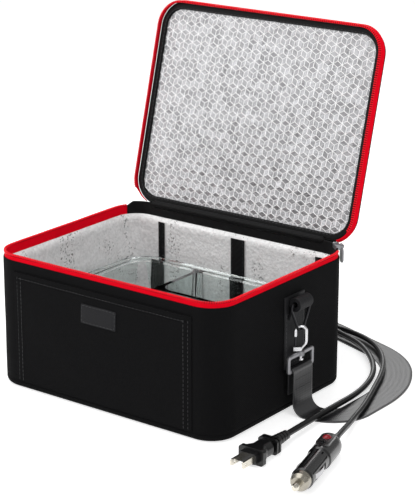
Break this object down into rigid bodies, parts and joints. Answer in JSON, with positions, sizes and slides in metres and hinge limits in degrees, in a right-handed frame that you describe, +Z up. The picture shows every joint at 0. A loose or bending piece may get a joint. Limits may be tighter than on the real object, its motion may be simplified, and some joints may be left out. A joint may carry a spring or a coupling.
{
  "type": "electric lunch box",
  "caption": "Soft black insulated lunch bag with a red zip and foil lining, standing open, with a heating plate, a glass tray, a shoulder strap, a mains lead and a car lead.",
  "frame": {"origin": "middle of the bag's base, on the surface it stands on", "axes": "+X to the bag's right, +Y to its back, where the lid hinges, +Z up"},
  "size_m": [0.4822, 0.4195, 0.3499],
  "materials": {
    "black_cloth": "matte woven polyester",
    "red_tape": "woven zip tape",
    "silver_foil": "crinkled foil film",
    "foam": "closed-cell foam",
    "stiff_board": "pressed board",
    "webbing": "woven polyester webbing",
    "black_wire": "black plated wire",
    "bright_hook": "bright nickel plate",
    "gunmetal": "gunmetal plate",
    "grey_pull": "grey moulded plastic",
    "plate_aluminium": "grey satin coating",
    "heater_plastic": "dark grey moulded plastic",
    "amber_film": "polyimide film",
    "white_plastic": "white moulded plastic",
    "black_plastic": "black moulded plastic",
    "brass_contact": "nickelled brass",
    "steel": "plated steel",
    "wire_red": "silicone insulation",
    "clear_glass": "pressed borosilicate glass",
    "cord_rubber": "soft black jacket",
    "lens_red": "red translucent plastic"
  },
  "bodies": {
    "bag": {"wall_shell": "black_cloth", "base_panel": "black_cloth", "base_board": "stiff_board", "wall_foam": "foam", "bag_lining": "silver_foil", "front_pocket": "black_cloth", "label_patch": "grey_pull", "zip_tape_body": "red_tape", "rear_band": "black_cloth", "lining_seam_tapes": "black_cloth", "side_tab_right": "webbing", "side_tab_left": "webbing", "zip_slider": "gunmetal", "shoulder_strap": "webbing", "strap_drop_right": "webbing", "strap_drop_left": "webbing", "ac_cord": "cord_rubber", "ac_coil": "cord_rubber", "ac_plug": "black_plastic", "ac_plug_blades": "brass_contact", "ac_connector": "black_plastic", "dc_cord": "cord_rubber", "dc_coil": "cord_rubber", "dc_connector": "black_plastic", "car_plug_body": "black_plastic", "car_plug_lens": "lens_red", "car_plug_ring": "brass_contact", "car_plug_springs": "steel", "lead_ties": "black_cloth"},
    "lid": {"lid_shell": "black_cloth", "lid_foam": "foam", "lid_lining": "silver_foil", "lid_binding": "black_cloth", "zip_tape_lid": "red_tape", "hinge_piping": "black_cloth", "carry_handle": "webbing"},
    "zip_pull": {"zip_pull": "grey_pull"},
    "heater": {"heater_top": "plate_aluminium", "heater_base": "heater_plastic", "heating_film": "amber_film", "thermostat": "white_plastic", "ac_inlet": "black_plastic", "socket_pins": "brass_contact", "dc_jack": "black_plastic", "jack_ring": "steel", "heater_wires": "wire_red", "heater_screws": "steel"},
    "tray": {"glass_tray": "clear_glass"},
    "right_hook": {"strap_ring_right": "black_wire", "snap_hook_right": "bright_hook", "strap_loop_right": "gunmetal"},
    "left_hook": {"strap_ring_left": "black_wire", "snap_hook_left": "bright_hook", "strap_loop_left": "gunmetal"},
    "right_gate": {"hook_gate_right": "bright_hook"},
    "left_gate": {"hook_gate_left": "bright_hook"},
    "car_tip": {"car_plug_tip": "brass_contact"}
  },
  "joints": [
    {"name": "lid_hinge", "type": "hinge", "parent": "bag", "child": "lid", "pos_m": [0, 0.1072, 0.1398], "axis": [1, 0, 0], "range_deg": [0, 105]},
    {"name": "heater_lift", "type": "slide", "parent": "bag", "child": "heater", "axis": [0, 0, 1], "range_m": [0, 0.19]},
    {"name": "tray_lift", "type": "slide", "parent": "heater", "child": "tray", "axis": [0, 0, 1], "range_m": [0, 0.12]},
    {"name": "zip_pull_flip", "type": "hinge", "parent": "bag", "child": "zip_pull", "pos_m": [0.13125, 0.10513, 0.1392], "axis": [0.766, -0.6428, 0], "range_deg": [0, 90]},
    {"name": "right_hook_swing", "type": "hinge", "parent": "bag", "child": "right_hook", "pos_m": [0.1482, 0.01, 0.111], "axis": [0, -1, 0], "range_deg": [0, 45], "deforming": ["strap_drop_right"]},
    {"name": "right_gate_press", "type": "hinge", "parent": "right_hook", "child": "right_gate", "pos_m": [0.14452, 0.00632, 0.0638], "axis": [-0.7071, 0.7071, 0], "range_deg": [0, 24], "stiffness_Nm_per_rad": 0.02, "springref_deg": -11.46},
    {"name": "left_hook_swing", "type": "hinge", "parent": "bag", "child": "left_hook", "pos_m": [-0.1482, 0.01, 0.111], "axis": [0, 1, 0], "range_deg": [0, 45], "deforming": ["strap_drop_left"]},
    {"name": "left_gate_press", "type": "hinge", "parent": "left_hook", "child": "left_gate", "pos_m": [-0.14452, 0.01368, 0.0638], "axis": [0.7071, -0.7071, 0], "range_deg": [0, 24], "stiffness_Nm_per_rad": 0.02, "springref_deg": -11.46},
    {"name": "car_tip_press", "type": "slide", "parent": "bag", "child": "car_tip", "axis": [-0.264, 0.9645, 0], "range_m": [0, 0.003], "stiffness_N_per_m": 600, "springref_m": -0.002}
  ]
}
